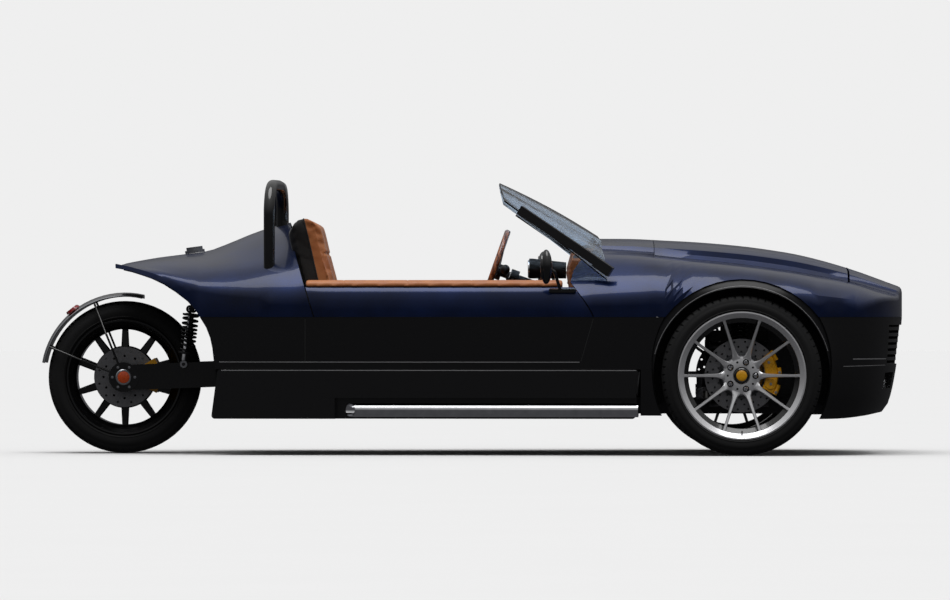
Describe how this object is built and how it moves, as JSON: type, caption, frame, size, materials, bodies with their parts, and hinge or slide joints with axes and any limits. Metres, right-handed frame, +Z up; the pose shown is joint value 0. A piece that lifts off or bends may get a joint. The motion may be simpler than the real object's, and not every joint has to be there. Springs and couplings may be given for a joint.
{
  "type": "three wheeled car",
  "caption": "Open low sports car with steered front wheels, a wide driven rear wheel on a swing arm, side by side bucket seats, roll hoops, low windscreen and hinged hood.",
  "frame": {"origin": "on the floor, at the middle of the car's length and width", "axes": "+X towards the nose, +Y towards the car's left side, +Z up"},
  "size_m": [3.5816, 1.7488, 1.134],
  "materials": {
    "navy_paint": "gloss metallic clear coat",
    "gloss_black": "gloss",
    "satin_black": "satin",
    "dark_trim": "matte",
    "tan_leather": "fine grain",
    "chrome": "polished",
    "satin_aluminium": "satin",
    "silver_alloy": "satin clear coat",
    "tinted_glass": "clear, lightly tinted",
    "painted_steel": "satin",
    "spring_steel": "satin",
    "cast_metal": "as cast",
    "brake_iron": "turned",
    "yellow_enamel": "gloss enamel",
    "tyre": "matte",
    "lamp_body": "clear lens",
    "red_lens": "gloss"
  },
  "bodies": {
    "chassis": {"front_body": "navy_paint", "front_fascia": "satin_black", "grille": "satin_black", "headlamps": "lamp_body", "arch_liners": "satin_black", "side_panels": "navy_paint", "lower_panels": "gloss_black", "side_steps": "gloss_black", "exhaust_pipes": "chrome", "rear_deck": "navy_paint", "rear_wheelhouse": "satin_black", "fuel_cap": "satin_aluminium", "roll_hoops": "gloss_black", "windscreen_glass": "tinted_glass", "windscreen_frame": "satin_black", "mirrors": "gloss_black", "cockpit_tub": "dark_trim", "seat_bulkhead": "dark_trim", "firewall": "dark_trim", "dashboard": "tan_leather", "instrument_pod": "satin_black", "console": "dark_trim", "sill_pads": "tan_leather", "seat_cushions": "tan_leather", "seat_backs": "tan_leather", "engine_block": "cast_metal", "front_subframe": "painted_steel", "wishbones": "painted_steel", "front_coilovers": "spring_steel", "drive_shafts": "spring_steel", "steering_rack": "satin_aluminium", "steering_column": "satin_black", "swingarm": "gloss_black", "rear_coilovers": "spring_steel", "rear_caliper": "yellow_enamel", "rear_fender": "gloss_black", "tail_lamps": "red_lens"},
    "hood": {"hood": "navy_paint"},
    "tie_rods": {"tie_rods": "spring_steel"},
    "steering_wheel": {"steering_wheel": "tan_leather"},
    "left_upright": {"left_knuckle": "cast_metal", "left_caliper": "yellow_enamel"},
    "right_upright": {"right_knuckle": "cast_metal", "right_caliper": "yellow_enamel"},
    "left_wheel": {"left_disc": "brake_iron", "left_rim": "silver_alloy", "left_tyre": "tyre"},
    "right_wheel": {"right_disc": "brake_iron", "right_rim": "silver_alloy", "right_tyre": "tyre"},
    "rear_wheel": {"rear_disc": "brake_iron", "rear_rim": "gloss_black", "rear_tyre": "tyre"}
  },
  "joints": [
    {"name": "hood_hinge", "type": "hinge", "parent": "chassis", "child": "hood", "pos_m": [1.55863, 0, 0.76956], "axis": [0, 1, 0], "range_deg": [0, 55]},
    {"name": "steer_left", "type": "hinge", "parent": "chassis", "child": "left_upright", "pos_m": [1.10583, 0.713, 0.328], "axis": [0, 0, 1], "range_deg": [-25, 25]},
    {"name": "steer_right", "type": "hinge", "parent": "chassis", "child": "right_upright", "pos_m": [1.10583, -0.713, 0.328], "axis": [0, 0, 1], "range_deg": [-25, 25]},
    {"name": "rack_slide", "type": "slide", "parent": "chassis", "child": "tie_rods", "axis": [0, 1, 0], "range_m": [-0.0615, 0.0615]},
    {"name": "steering_wheel_turn", "type": "hinge", "parent": "chassis", "child": "steering_wheel", "pos_m": [0.09483, 0.3, 0.763], "axis": [-0.9426, 0, 0.3338], "range_deg": [-376, 376]},
    {"name": "left_wheel_spin", "type": "hinge", "parent": "left_upright", "child": "left_wheel", "pos_m": [1.10583, 0.743, 0.328], "axis": [0, 1, 0], "continuous": true},
    {"name": "right_wheel_spin", "type": "hinge", "parent": "right_upright", "child": "right_wheel", "pos_m": [1.10583, -0.743, 0.328], "axis": [0, 1, 0], "continuous": true},
    {"name": "rear_wheel_spin", "type": "hinge", "parent": "chassis", "child": "rear_wheel", "pos_m": [-1.44417, 0, 0.317], "axis": [0, 1, 0], "continuous": true}
  ],
  "couplings": [
    {"joint": "steer_right", "follows": "steer_left", "ratio": 1},
    {"joint": "rack_slide", "follows": "steer_left", "m_per_rad": -0.14},
    {"joint": "steering_wheel_turn", "follows": "steer_left", "ratio": 15}
  ]
}
